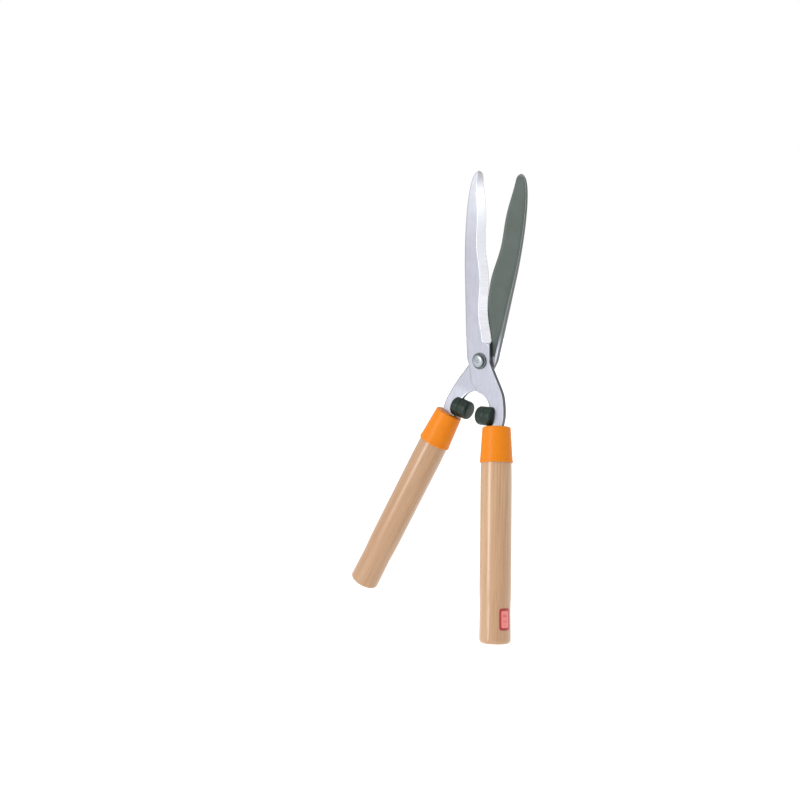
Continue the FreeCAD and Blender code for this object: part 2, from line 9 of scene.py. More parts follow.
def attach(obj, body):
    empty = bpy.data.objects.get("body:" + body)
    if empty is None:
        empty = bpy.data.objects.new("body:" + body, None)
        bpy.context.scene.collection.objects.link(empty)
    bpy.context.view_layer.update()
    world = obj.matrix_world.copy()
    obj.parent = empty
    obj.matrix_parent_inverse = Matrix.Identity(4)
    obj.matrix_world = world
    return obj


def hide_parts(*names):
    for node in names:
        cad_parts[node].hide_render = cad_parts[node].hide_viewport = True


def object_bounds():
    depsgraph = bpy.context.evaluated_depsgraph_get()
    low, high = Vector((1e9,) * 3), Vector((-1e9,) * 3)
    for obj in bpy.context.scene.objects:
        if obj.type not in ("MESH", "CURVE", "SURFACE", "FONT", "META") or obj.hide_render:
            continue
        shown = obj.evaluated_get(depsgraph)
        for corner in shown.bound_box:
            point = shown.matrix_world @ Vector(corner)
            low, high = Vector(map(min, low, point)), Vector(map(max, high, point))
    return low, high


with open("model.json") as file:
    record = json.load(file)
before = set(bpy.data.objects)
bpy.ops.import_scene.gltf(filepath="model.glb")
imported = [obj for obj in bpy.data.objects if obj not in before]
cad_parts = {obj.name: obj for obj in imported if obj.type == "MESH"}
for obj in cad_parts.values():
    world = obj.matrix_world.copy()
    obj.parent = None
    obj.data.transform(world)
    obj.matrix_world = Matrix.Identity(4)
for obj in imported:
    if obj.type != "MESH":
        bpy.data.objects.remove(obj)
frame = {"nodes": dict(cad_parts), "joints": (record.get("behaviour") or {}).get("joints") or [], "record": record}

cadBounds = [list(corner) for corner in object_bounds()]
mm = 0.001
print("frame loaded:", len(frame["nodes"]), "nodes")


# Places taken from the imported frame: the pivot, the two grips and the angle between the halves.

mounts = {mount["name"]: mount for mount in frame["record"]["mounts"]}
pivot = np.array(frame["joints"][0]["pos_m"]) / mm
gripDown = {1: np.array(mounts["right_grip"]["axis"]), -1: np.array(mounts["left_grip"]["axis"])}
gripMiddle = {1: np.array(mounts["right_grip"]["pos_m"]) / mm,
              -1: np.array(mounts["left_grip"]["pos_m"]) / mm}
mirrored = gripDown[1] * (-1, 1, 1)
openAngle = math.atan2(gripDown[-1][0], gripDown[-1][2]) - math.atan2(mirrored[0], mirrored[2])
halfName = {1: "right_half", -1: "left_half"}
handName = {1: "right", -1: "left"}


# Points of a half's own frame, turned about the pivot's axis by the opening angle for the rear half,
# and moved to the pivot: x' = x cos + z sin, z' = z cos - x sin.
def placeHalf(points, side):
    angle = 0 if side > 0 else openAngle
    x, y, z = points[..., 0], points[..., 1], points[..., 2]
    turned = np.stack([x * math.cos(angle) + z * math.sin(angle), y,
                       z * math.cos(angle) - x * math.sin(angle)], axis=-1)
    return turned + pivot


# A frame is an origin and three unit axes a, b and c: c along up, a the part of across square to it,
# and b = c x a.
def makeFrame(origin, up, across):
    c = np.array(up, float)
    c /= np.linalg.norm(c)
    a = np.array(across, float) - np.dot(across, c) * c
    a /= np.linalg.norm(a)
    return np.array(origin, float), np.stack([a, np.cross(c, a), c])


# A point of a frame is its origin + x a + y b + z c.
def inFrame(points, place):
    return place[0] + points @ place[1]


# Mesh from a grid of rows whose columns close round: each quad joins columns k and k + 1 of two
# neighbouring rows. Its two ends close with a fan to their own middle, or, without closed ends, its
# last row joins its first as in a ring.
def tubeMesh(name, grid, closeEnds=True, attributes=None):
    rows, columns = grid.shape[:2]
    points = grid.reshape(-1, 3)
    index = np.arange(rows * columns).reshape(rows, columns)
    nextColumn = np.roll(index, -1, axis=1)
    quads = np.stack([index[:-1], nextColumn[:-1], nextColumn[1:], index[1:]], axis=-1).reshape(-1, 4)
    extra = np.empty((0, 3))
    fans = np.empty((0, 3), int)
    if closeEnds:
        extra = np.stack([grid[0].mean(0), grid[-1].mean(0)])
        first = np.full(columns, rows * columns)
        start = np.stack([first, nextColumn[0], index[0]], axis=-1)
        end = np.stack([first + 1, index[-1], nextColumn[-1]], axis=-1)
        fans = np.concatenate([start, end])
    else:
        wrap = np.stack([index[-1], nextColumn[-1], nextColumn[0], index[0]], axis=-1)
        quads = np.concatenate([quads, wrap])
    return surfaceMesh(name, np.concatenate([points, extra]), quads, fans, attributes)


# Writes the arrays into a mesh, turned so that the volume by the divergence theorem is positive.
def surfaceMesh(name, points, quads, fans, attributes=None):
    triangles = np.concatenate([quads[:, [0, 1, 2]], quads[:, [0, 2, 3]], fans])
    a, b, c = (points[triangles[:, k]] for k in range(3))
    if np.einsum("ij,ij->i", a, np.cross(b, c)).sum() < 0:
        quads, fans = quads[:, ::-1], fans[:, ::-1]
    mesh = bpy.data.meshes.new(name)
    corners = np.concatenate([quads.ravel(), fans.ravel()]).astype(np.int32)
    starts = np.concatenate([np.arange(len(quads)) * 4, len(quads) * 4 + np.arange(len(fans)) * 3])
    mesh.vertices.add(len(points))
    mesh.vertices.foreach_set("co", (points * mm).astype(np.float32).ravel())
    mesh.loops.add(len(corners))
    mesh.loops.foreach_set("vertex_index", corners)
    mesh.polygons.add(len(starts))
    mesh.polygons.foreach_set("loop_start", starts.astype(np.int32))
    mesh.polygons.foreach_set("use_smooth", np.ones(len(starts), bool))
    for label, values in (attributes or {}).items():
        kind = "FLOAT_VECTOR" if values.ndim == 2 else "FLOAT"
        field = "vector" if values.ndim == 2 else "value"
        padded = np.zeros((len(points),) + values.shape[1:], np.float32)
        padded[:len(values)] = values
        if len(values) < len(points):
            padded[len(values):] = values[[0, -1]]
        mesh.attributes.new(label, kind, "POINT").data.foreach_set(field, padded.ravel())
    mesh.update(calc_edges=True)
    mesh.validate()
    piece = bpy.data.objects.new(name, mesh)
    bpy.context.scene.collection.objects.link(piece)
    return piece


# Smooth run through a few points: a cubic between each pair, with slopes from the neighbours.
def smoothRun(points, count):
    points = np.array(points, float)
    padded = np.concatenate([[2 * points[0] - points[1]], points, [2 * points[-1] - points[-2]]])
    t = np.linspace(0, len(points) - 1, count)
    k = np.minimum(t.astype(int), len(points) - 2)
    f = (t - k)[:, None]
    p0, p1, p2, p3 = (padded[k + step] for step in range(4))
    return 0.5 * (2 * p1 + (p2 - p0) * f + (2 * p0 - 5 * p1 + 4 * p2 - p3) * f ** 2
                  + (3 * p1 - p0 - 3 * p2 + p3) * f ** 3)


# 0 below low, 1 above high, and 3 t squared - 2 t cubed between them.
def smoothStep(x, low, high):
    t = np.clip((x - low) / (high - low), 0, 1)
    return t * t * (3 - 2 * t)


# Line through corners of (radius, height, rounding). An arc that touches both neighbouring runs takes
# each rounded corner's place: its middle lies on their bisector, rounding / sin(half angle) away.
def roundedProfile(corners, perArc=7, perRun=2):
    places = []
    spots = np.array([corner[:2] for corner in corners], float)
    radii = [corner[2] if len(corner) > 2 else 0 for corner in corners]
    for k, (spot, radius) in enumerate(zip(spots, radii)):
        if radius == 0 or k in (0, len(spots) - 1):
            places.append(spot[None])
            continue
        back, ahead = spots[k - 1] - spot, spots[k + 1] - spot
        back, ahead = back / np.linalg.norm(back), ahead / np.linalg.norm(ahead)
        half = math.acos(np.clip(back @ ahead, -1, 1)) / 2
        reach = radius / math.tan(half)
        middle = spot + (back + ahead) / np.linalg.norm(back + ahead) * radius / math.sin(half)
        first, last = spot + back * reach - middle, spot + ahead * reach - middle
        sweep = math.pi - 2 * half
        f = np.linspace(0, 1, perArc)[:, None]
        arc = (np.sin((1 - f) * sweep) * first + np.sin(f * sweep) * last) / math.sin(sweep)
        places.append(middle + arc)
    line = np.concatenate(places)
    f = np.linspace(0, 1, perRun, endpoint=False)[None, :, None]
    filled = line[:-1, None] * (1 - f) + line[1:, None] * f
    return np.concatenate([filled.reshape(-1, 2), line[-1:]])


# Profile of (radius, height) turned about a frame's third axis: radius cos, radius sin, height.
def lathe(name, profile, place, columns=96, closeEnds=True):
    angle = np.linspace(0, 2 * math.pi, columns, endpoint=False)[None]
    radius, height = profile[:, :1], profile[:, 1:]
    grid = np.stack([radius * np.cos(angle), radius * np.sin(angle), height + 0 * angle], axis=-1)
    return tubeMesh(name, inFrame(grid, place), closeEnds)


# Material and moving body of a piece, and the CAD nodes that it stands in for; the slot is not used.
def finishPiece(piece, material, body, slot, *nodes):
    piece.data.materials.clear()
    piece.data.materials.append(material)
    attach(piece, body)
    if nodes:
        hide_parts(*nodes)
    print("made", piece.name, len(piece.data.polygons), "faces")
    return piece


# Blades. Both halves are one shape, mirrored: rungs run from the spine side to the edge side,
# and a closed section with hollow, land and bevel is carried down them.

bladeShape = {
    "length": 203, "tipOffset": 1.2, "spineOffset": 20, "spineRoot": 17.9, "spineBend": 100,
    "spinePower": 0.91, "noseStart": 195, "nosePower": 3.2,
    "edgeRoot": 11.8, "edgeSlope": 0.0394, "waveHeight": 2.0, "wavePitch": 72, "waveCrest": 90,
    "waveFade": 220, "bevelWidth": 9.5, "bevelEnd": (17.5, 22.5), "bluntWidth": 2.2, "land": 0.35,
    "thickness": 5, "tipThickness": 2.6, "taperStart": 20, "tipGrind": (196, 7, 0.45), "gap": 0.05,
    "shoulderTop": 4.0, "ricasso": 13.2, "ricassoEnd": (17, 21), "tangWidth": 17, "tangDepth": 4,
    "crankHeight": -37.2, "crankBlend": 5, "corner": 0.8, "sharp": 0.05, "dull": 0.7,
    "hollow": 0.3, "hollowRim": (3.4, 1.1), "rimEnds": (10, 120), "hollowEdge": 1.0,
    "hollowEnds": (7, 201.5), "hollowFade": 3, "hollowWall": 0.04, "bareStart": (12, 40),
    "chamfer": 0.29, "gripCentre": 115, "noseRungs": 250, "rootRungs": 200, "easedRungs": 20,
}
# Outline below the blade as (x, z). On the spine side each run starts where the last one ended, and
# has its points, its number of rungs, and the share of the edge side's length that it ends at.
spineSide = [
    ([(-16.6, -1), (-14.4, -8), (-13.3, -15)], 34, 0.13),
    ([(-13.3, -20)], 14, 0.19),
    ([(-12.5, -23.4), (-10.4, -26.4)], 20, 0.28),
    ([(-4.6, -33.4)], 24, 0.38),
    ([(-3.4, -34.6), (0, -35.7), (4, -37.3), (8, -40), (11.2, -43.3), (13.6, -47.6), (15.2, -52.4),
      (16.3, -57.5)], 80, 0.75),
]
edgeSide = [(13.2, 4.0), (13.2, -1), (16.2, -8), (22.2, -20), (28.2, -32), (32.3, -44), (35.0, -58)]
# Shares of the hollow, the bevel and the outer face at which a section has its points.
hollowShares = (0, 0.02, 0.04, 0.15, 0.3, 0.45, 0.6, 0.75, 0.9, 0.96, 0.98, 1)
bevelShares = (0, 0.02, 0.12, 0.25, 0.38, 0.5, 0.62, 0.75, 0.88, 0.97, 1)
faceShares = (0.008, 0.03, 0.1, 0.2, 0.3, 0.4, 0.5, 0.6, 0.7, 0.8, 0.9, 1)


def edgeLine(height):
    # straight slope plus a cosine whose height dies out as a square root towards the tip
    b = bladeShape
    fade = np.sqrt(np.clip(1 - height / b["waveFade"], 0, 1))
    wave = np.cos(2 * math.pi * (height - b["waveCrest"]) / b["wavePitch"])
    return b["edgeRoot"] - b["edgeSlope"] * height + b["waveHeight"] * fade * wave


crankSlope = gripDown[1][1] / gripDown[1][2]
splay = math.atan2(gripDown[1][0], -gripDown[1][2])
ferruleTop = {side: gripMiddle[side] - gripDown[side] * bladeShape["gripCentre"] for side in (1, -1)}


def bladeRungs():
    # upper part: level rungs, a quarter ellipse for the spine; lower part: runs shared out by length
    b = bladeShape
    turn = np.linspace(0, math.pi / 2, b["noseRungs"])
    high = b["spineBend"] + (b["length"] - b["spineBend"]) * np.cos(turn) ** b["spinePower"]
    spineHigh = -b["tipOffset"] - (b["spineOffset"] - b["tipOffset"]) * np.sin(turn) ** b["spinePower"]
    low = np.linspace(b["spineBend"], b["shoulderTop"], b["rootRungs"])[1:]
    spineLow = np.interp(low, [b["shoulderTop"], b["spineBend"]], [-b["spineRoot"], -b["spineOffset"]])
    height = np.concatenate([high, low])
    spine = np.concatenate([spineHigh, spineLow])
    toRicasso = smoothStep(height, *b["ricassoEnd"])
    edge = edgeLine(height) * toRicasso + b["ricasso"] * (1 - toRicasso)
    nose = np.clip((height - b["noseStart"]) / (b["length"] - b["noseStart"]), 0, 1)
    edge = edge - (edge + b["tipOffset"]) * nose ** b["nosePower"]
    top = (ferruleTop[1] - pivot)[[0, 2]]
    wide = np.array([math.cos(splay), math.sin(splay)]) * b["tangWidth"] / 2
    foot = np.array([math.sin(splay), -math.cos(splay)]) * b["tangDepth"]
    inner, outer = top - wide, top + wide
    flare = smoothRun(edgeSide + [outer, outer + foot], 400)
    travel = np.concatenate([[0], np.cumsum(np.linalg.norm(np.diff(flare, axis=0), axis=1))])
    travel /= travel[-1]
    spines, edges = [np.stack([spine, height], 1)], [np.stack([edge, height], 1)]
    corner, reached = (-b["spineRoot"], b["shoulderTop"]), 0
    intoFerrule = [([inner], 30, 0.94), ([inner + foot], 10, 1)]
    for points, count, share in spineSide + intoFerrule:
        spines.append(smoothRun([corner] + points, count + 1)[1:])
        wanted = np.linspace(reached, share, count + 1)[1:]
        edges.append(np.stack([np.interp(wanted, travel, flare[:, k]) for k in (0, 1)], 1))
        corner, reached = points[-1], share
    firstRow = len(height) - b["easedRungs"]
    return [eased(np.concatenate(line), firstRow) for line in (spines, edges)]


# Each point past a row becomes (before + 2 point + after) / 4, which rounds the outline's corners.
def eased(line, firstRow, passes=5):
    for _ in range(passes):
        line[firstRow:-1] = (line[firstRow - 1:-2] + 2 * line[firstRow:-1] + line[firstRow + 1:]) / 4
    return line


def bladeSection(width, height):
    # columns of (across, deep, hollow, ground, side): across from the spine, deep from the meeting
    # plane, side the painted shade on the plate's sides and rounded corners; the hollow's side first,
    # round the edge, up the bevel and back over the outer face
    b = bladeShape
    taper = np.clip((height - b["taperStart"]) / (b["length"] - b["taperStart"]), 0, 1)
    thick = b["thickness"] + taper * (b["tipThickness"] - b["thickness"])
    grindStart, grindLength, grindShare = b["tipGrind"]
    thick = thick * (1 - grindShare * np.clip((height - grindStart) / grindLength, 0, 1) ** 2)
    ground = smoothStep(height, *b["bevelEnd"])
    corner = np.minimum(b["corner"], 0.3 * width)
    bevel = np.minimum(b["bevelWidth"], 0.5 * width) * ground + b["bluntWidth"] * (1 - ground)
    landTop = b["land"] * ground + thick * (1 - ground)
    sharp = np.minimum(b["sharp"] + b["dull"] * (1 - ground), 0.2 * width)
    rim = np.minimum(np.interp(height, b["rimEnds"], b["hollowRim"]), 0.3 * width)
    lip = width - np.minimum(b["hollowEdge"], 0.1 * width)
    foot, top = b["hollowEnds"]
    depth = smoothStep(height, foot, foot + b["hollowFade"])
    depth = depth * (1 - smoothStep(height, top - b["hollowFade"], top))
    columns = []

    def put(across, deep, hollow=0.0, shine=0.0, side=0.0):
        columns.append(np.stack([across + 0 * width, deep + 0 * width, hollow + 0 * width,
                                 shine + 0 * width, side + 0 * width], -1))

    for f in (0, 0.5, 0.9):
        put(corner + (rim - corner) * f, 0)
    for f in hollowShares:
        inside = min(1, f / b["hollowWall"], (1 - f) / b["hollowWall"])
        put(rim + (lip - rim) * f, b["hollow"] * depth * inside, depth)
    put(width - sharp * 1.5, 0)
    put(width - sharp, 0)
    cut = sharp * b["chamfer"]
    # the last value is painted shade: the edge side's chamfer and flat side are drawn darker, as in shadow
    put(width - cut, cut, 0, 0, 0.6)
    put(width, sharp, 0, 0, 1)
    put(width, landTop - sharp, 0, 0, 1)
    put(width - cut, landTop - cut * (1 - ground), 0, ground, 0.4 * (1 - ground))
    for f in bevelShares:
        put(width - sharp - (bevel - sharp) * f, landTop + (thick - landTop) * f, 0, ground)
    for f in faceShares:
        put(width - bevel - (width - bevel - corner) * f, thick)
    # painted shade on the spine side's rounded corners and flat side, fading out round the lower corner
    for turn in np.radians((30, 60, 90)):
        put(corner * (1 - math.sin(turn)), thick - corner * (1 - math.cos(turn)), 0, 0, 1)
    for f in (0.3, 0.5, 0.7):
        put(0, thick - corner - (thick - 2 * corner) * f, 0, 0, 1)
    for turn in np.radians((0, 30, 60)):
        put(corner * (1 - math.cos(turn)), corner * (1 - math.sin(turn)), 0, 0, 1 - turn / 1.6)
    return np.stack(columns, 1), thick


def makeBlade(name, side):
    # each point is spine + across x width share; the crank bends the plate by a hyperbola whose slope
    # goes from 0 above the bend to the full slope below it
    b = bladeShape
    spine, edge = (line[3:] for line in bladeRungs())  # the first rungs have next to no width
    width = np.linalg.norm(edge - spine, axis=1)
    across = (edge - spine) / width[:, None]
    section, thick = bladeSection(width, (spine[:, 1] + edge[:, 1]) / 2)
    flat = spine[:, None] + across[:, None] * section[..., :1]
    below = b["crankHeight"] - flat[..., 1]
    reach = np.sqrt(below ** 2 + b["crankBlend"] ** 2)
    slope = crankSlope * (1 + below / reach) / 2
    half = thick[:, None] / 2
    deep = half + (section[..., 1] - half) * np.sqrt(1 + slope ** 2)
    y = -side * (b["gap"] + deep) - crankSlope * (below + reach) / 2
    grid = placeHalf(np.stack([side * flat[..., 0], y, flat[..., 1]], -1), side)
    fromEdge = width[:, None] - section[..., 0]
    place = np.stack([flat[..., 0], flat[..., 1], fromEdge], -1) * mm
    innerFace = section[..., 1] < b["corner"]
    meeting = innerFace * smoothStep(flat[..., 1], *b["bareStart"])
    # the section's fifth column goes on as the painted shade of the plate's sides
    attributes = {"coat": section[..., 2].ravel(), "ground": section[..., 3].ravel(),
                  "place": place.reshape(-1, 3), "paintedSideShade": section[..., 4].ravel(),
                  "meeting": meeting.ravel()}
    return tubeMesh(name, grid, True, attributes)


# Turned wooden grips: a smooth radius along the depth below the ferrule's top, with a rounded end.

gripShape = {
    "buried": 30, "buriedRadius": 15.9,
    "stations": [(38, 16.66), (50, 16.86), (62, 17), (90, 17), (120, 17), (150, 17), (168, 16.99),
                 (177, 16.84), (186, 16.5), (194, 16.4), (203, 16.5), (212, 16.64), (220, 16.7)],
    "length": 228.2, "endRound": 4.2, "dome": 0.7, "rows": 260, "columns": 120,
}


# Frame of a handle: origin at the ferrule's top, third axis up the handle, first across the plate.
def handlePlace(side):
    angle = 0 if side > 0 else openAngle
    normal = np.array([-crankSlope * math.sin(angle), 1, -crankSlope * math.cos(angle)])
    return makeFrame(ferruleTop[side], -gripDown[side], np.cross(normal, -gripDown[side]))


# Radius at a depth, read off the smooth run through the stations.
def gripRadius(depth):
    stations = smoothRun(gripShape["stations"], 400)
    return np.interp(depth, stations[:, 0], stations[:, 1])


# The radius turned round the handle's axis, a quarter circle at the end and a parabola as its dome.
def makeGrip(name, side):
    g = gripShape
    depth = np.linspace(g["stations"][0][0], g["length"] - g["endRound"], g["rows"])
    radius = gripRadius(depth)
    turn = np.linspace(0, math.pi / 2, 14)[1:]
    roundRadius = radius[-1] - g["endRound"] * (1 - np.cos(turn))
    roundDepth = g["length"] - g["endRound"] + g["endRound"] * np.sin(turn)
    faceRadius = np.linspace(roundRadius[-1], 0.4, 14)[1:]
    faceDepth = g["length"] + g["dome"] * (1 - (faceRadius / roundRadius[-1]) ** 2)
    buried = [(0.5, g["buried"]), (g["buriedRadius"], g["buried"])]
    profile = np.concatenate([buried, np.stack([radius, depth], 1),
                              np.stack([roundRadius, roundDepth], 1),
                              np.stack([faceRadius, faceDepth], 1)])
    angle = np.linspace(0, 2 * math.pi, g["columns"], endpoint=False)[None]
    local = np.stack([profile[:, :1] * np.cos(angle), profile[:, :1] * np.sin(angle),
                      -profile[:, 1:] + 0 * angle], -1)
    attributes = {"grain": local.reshape(-1, 3) * mm}
    return tubeMesh(name, inFrame(local, handlePlace(side)), True, attributes)


# Ferrules: a moulded tapered cup. Its section goes down the slot, over the top, down the
# outside, round the lip and back up the inside, and closes on itself.

ferruleShape = {
    "length": 38.6, "topRadius": 15.3, "endRadius": 17.8, "wall": 1.1, "topRound": 1.4,
    "lip": 0.22, "lipLength": 2.2, "lipSlope": 0.5, "cap": 2.0, "slot": (8.75, 2.8), "slotPower": 9,
    "slotMouth": 0.35, "crown": 0.25, "brim": [(0.13, 0.13), (0.45, 0), (1.1, 0.05), (1.2, 0.5)],
    "seam": 0.09, "seamWidth": 0.018, "rows": 60, "columns": 160,
}


def makeFerrule(name, side):
    # every row is a circle, or the slot |x / a| ** n + |y / b| ** n = 1, or a mix of them by a share;
    # a row is (share of slot, widening, height)
    f = ferruleShape
    angle = np.linspace(0, 2 * math.pi, f["columns"], endpoint=False)
    power = f["slotPower"]
    slot = (np.abs(np.cos(angle) / f["slot"][0]) ** power
            + np.abs(np.sin(angle) / f["slot"][1]) ** power) ** (-1 / power)
    slope = (f["endRadius"] - f["topRadius"]) / f["length"]
    mouth = f["slotMouth"]
    rows = [(1, 0, -f["cap"]), (1, 0, -0.5), (1, mouth * 0.34, -0.2), (1, mouth, -0.05)]
    for share in np.linspace(0.1, 1, 8):
        rows.append((1 - share, mouth * (1 - share), f["crown"] * math.sin(math.pi * share)))
    radii = [f["topRadius"] - f["topRound"]] * len(rows)
    for turn in np.linspace(0, math.pi / 2, 8)[1:]:
        rows.append((0, 0, -f["topRound"] * (1 - math.cos(turn))))
        radii.append(f["topRadius"] - f["topRound"] * (1 - math.sin(turn)))
    lipStart = f["length"] - f["lipLength"]
    upperRows = len(rows)
    for depth in np.linspace(f["topRound"] + 0.4, f["length"] - 0.45, f["rows"]):
        rows.append((0, 0, -depth))
        raised = f["lip"] * float(smoothStep(depth, lipStart - f["lipSlope"], lipStart))
        radii.append(f["topRadius"] + slope * depth + raised)
    outerRows = len(rows)
    for inset, depth in f["brim"]:
        rows.append((0, 0, -f["length"] + depth))
        radii.append(f["endRadius"] + f["lip"] - inset)
    for depth in np.linspace(f["length"] - 2, f["cap"] + 1, 8):
        rows.append((0, 0, -depth))
        radii.append(f["topRadius"] + slope * depth - f["wall"])
    for share in (0, 0.5, 1):
        rows.append((share, 0, -f["cap"] - 0.6))
        radii.append(f["topRadius"] - f["wall"] - 0.5)
    rows, radii = np.array(rows), np.array(radii)[:, None]
    radius = radii * (1 - rows[:, :1]) + (slot[None] + rows[:, 1:2]) * rows[:, :1]
    seam = np.exp(-(np.sin(angle) / f["seamWidth"]) ** 2)[None] * f["seam"]
    row = np.arange(len(rows))[:, None]
    radius = radius + seam * ((row > upperRows + 1) & (row < outerRows - 6))
    height = np.repeat(rows[:, 2:], len(angle), axis=1)
    local = np.stack([radius * np.cos(angle), radius * np.sin(angle), height], -1)
    attributes = {"moulded": local.reshape(-1, 3) * mm}
    return tubeMesh(name, inFrame(local, handlePlace(side)), False, attributes)


# Rubber bumpers: turned stops that sit astride the tangs' inner edges, with a domed face.

bumperShape = {
    "height": -59.6, "face": 0.4, "radius": 10.4, "flange": 10.7, "flangeLength": 9.0, "length": 22.1,
    "flat": 0.55, "flatDome": 0.15, "dome": 0.8, "round": 3.4, "groove": 0.35, "grooveLength": 1.4,
    "backRound": 3.2,
}


# A rounded profile from the domed face to the flange, turned round a line across the half.
def makeBumper(name, side):
    b = bumperShape
    back = b["length"]
    step = back - b["flangeLength"]
    middle = -side * (bladeShape["gap"] + bladeShape["thickness"] / 2)
    drop = (bladeShape["crankHeight"] - b["height"]) * crankSlope
    origin = placeHalf(np.array([side * b["face"], middle - drop, b["height"]]), side)
    up = placeHalf(np.array([side, 0, 0.0]), side) - pivot
    profile = roundedProfile([
        (0.3, 0), (b["radius"] * b["flat"], b["flatDome"]), (b["radius"], b["dome"], b["round"]),
        (b["radius"] + 0.1, step - b["grooveLength"]), (b["radius"] - b["groove"], step - 0.6, 0.5),
        (b["flange"], step, 0.7), (b["flange"], back, b["backRound"]), (0.3, back)], 9, 4)
    return lathe(name, profile, makeFrame(origin, up, (0, 1, 0)), 110)


# Pivot hardware, stacked along the pivot's axis from the front (-Y) to the back.

pivotShape = {
    "face": 5.05, "washerRadius": 9.0, "washer": 1.5, "bore": 4.1,
    "headRadius": 6.7, "head": 3.6, "headDome": 0.7, "headEase": 1.1,
    "dimple": [(0.25, 0.55), (1.1, 0.5, 0.3), (1.7, -0.02, 0.5), (4.4, 0.12)],
    "shank": 4.0, "threadStart": 8.5, "pitch": 1.25, "threadDepth": 0.62, "threadStep": 0.11,
    "chamfer": 0.9, "core": 2.9, "springRadius": 6.8,
    "spring": 1.8, "springRise": 0.25, "springSlit": 0.1, "flats": 13.0, "nut": 5.2,
    "hexagonCone": 1.6, "collarRadius": 5.9, "collar": 2.6, "collarWall": 1.3, "insert": 2.0,
    "tail": 1.4,
}
pivotPlace = makeFrame(pivot, (0, 1, 0), (1, 0, 0))
nutSeat = pivotShape["face"] + pivotShape["washer"] + pivotShape["spring"]


# Section of a ring: a rectangle with eased corners, from halfway up its inner side and back there.
def ringProfile(inner, outer, low, high, ease=0.3):
    middle = (low + high) / 2
    corners = [(inner, middle), (inner, low, ease / 2), (outer, low, ease), (outer, high, ease),
               (inner, high, ease / 2), (inner, middle)]
    return roundedProfile(corners, 6, 2)[:-1]


def makeBolt(name):
    # head and shank are turned; past the thread's start a triangle wave winds round as a helix
    p = pivotShape
    under = -p["face"] - p["washer"]
    top = under - p["head"]
    end = nutSeat + p["nut"] + p["collar"] + p["tail"]
    dimple = [(radius, top + sunk, *ease) for radius, sunk, *ease in p["dimple"]]
    head = roundedProfile(dimple + [
        (p["headRadius"], top + p["headDome"], p["headEase"]), (p["headRadius"], under, 0.25),
        (p["shank"], under), (p["shank"], p["threadStart"])], 8, 3)
    heights = np.arange(p["threadStart"], end, p["threadStep"])[1:]
    chamfer = np.clip(p["shank"] - (heights - end + p["chamfer"]), p["core"], p["shank"])
    tail = np.stack([chamfer, heights], 1)
    profile = np.concatenate([head, tail, [(2.6, end), (0.3, end)]])
    angle = np.linspace(0, 2 * math.pi, 96, endpoint=False)[None]
    radius, height = profile[:, :1] + 0 * angle, profile[:, 1:] + 0 * angle
    phase = (height / p["pitch"] - angle / (2 * math.pi)) % 1
    cut = np.abs(phase * 2 - 1)
    crest = p["shank"] - p["threadDepth"] * cut
    threaded = (height > p["threadStart"]) & (height < end - 0.01)
    radius = np.where(threaded, np.minimum(radius, crest), radius)
    grid = np.stack([radius * np.cos(angle), radius * np.sin(angle), height], -1)
    return tubeMesh(name, inFrame(grid, pivotPlace))


def makeNut(name):
    # the hexagon's radius is flat's half width / cos(angle from its middle), cut by a cone at each
    # face; a round collar rolled inwards follows
    p = pivotShape
    angle = np.linspace(0, 2 * math.pi, 144, endpoint=False)[None]
    hexagon = p["flats"] / 2 / np.cos((angle + math.pi / 6) % (math.pi / 3) - math.pi / 6)
    rows = []
    for height in np.concatenate([np.linspace(0, 0.9, 8), np.linspace(1.4, p["nut"] - 1.4, 6),
                                  np.linspace(p["nut"] - 0.9, p["nut"], 8)]):
        fromFace = min(height, p["nut"] - height)
        cone = p["flats"] / 2 - 0.15 + fromFace * p["hexagonCone"]
        rows.append((np.minimum(hexagon, cone), height))
    outside, inside, bore = p["collarRadius"], p["collarRadius"] - p["collarWall"], p["shank"] + 0.05
    root, brim = p["nut"], p["nut"] + p["collar"]
    collar = roundedProfile([
        (outside + 0.3, root + 0.02), (outside, root + 0.3), (outside, brim, 0.9),
        (inside, brim + 0.02, 0.2), (inside, root + 0.4), (bore, root + 0.3), (bore, 0.2)], 6, 2)
    rows += [(radius + 0 * angle, height) for radius, height in collar]
    grid = np.stack([np.stack([r[0] * np.cos(angle[0]), r[0] * np.sin(angle[0]),
                               h + nutSeat + 0 * angle[0]], -1) for r, h in rows])
    return tubeMesh(name, inFrame(grid, pivotPlace), False)


def makeWasher(name, low):
    # a flat ring with eased rims
    p = pivotShape
    profile = ringProfile(p["bore"], p["washerRadius"], low + 0.01, low + p["washer"] - 0.01)
    return lathe(name, profile, pivotPlace, 120, closeEnds=False)


def makeInsert(name):
    # a ring just under the rim of the nut's collar
    p = pivotShape
    top = nutSeat + p["nut"] + p["collar"]
    outer = p["collarRadius"] - p["collarWall"] + 0.05
    profile = ringProfile(p["shank"] + 0.05, outer, top - p["insert"], top - 0.35)
    return lathe(name, profile, pivotPlace, 96, closeEnds=False)


def makeSpringWasher(name):
    # a square section carried once round, rising a little, with a slit between its two ends
    p = pivotShape
    turn = np.linspace(p["springSlit"], 2 * math.pi - p["springSlit"], 120)[:, None]
    low = p["face"] + p["washer"]
    high = low + p["spring"] - 0.27
    section = ringProfile(p["shank"] + 0.15, p["springRadius"], low + 0.02, high, 0.2)
    rise = p["springRise"] * turn / (2 * math.pi)
    radius = section[:, 0]
    grid = np.stack([radius * np.cos(turn), radius * np.sin(turn), section[:, 1] + rise], -1)
    return tubeMesh(name, inFrame(grid, pivotPlace))


# Label: a thin film wrapped on the grip, a rounded rectangle in arc length and depth.

labelShape = {
    "top": 191.0, "bottom": 213.5, "halfArc": 6.9, "corner": 2.8, "thickness": 0.22, "lift": 0.03,
    "turn": math.radians(-17),
}


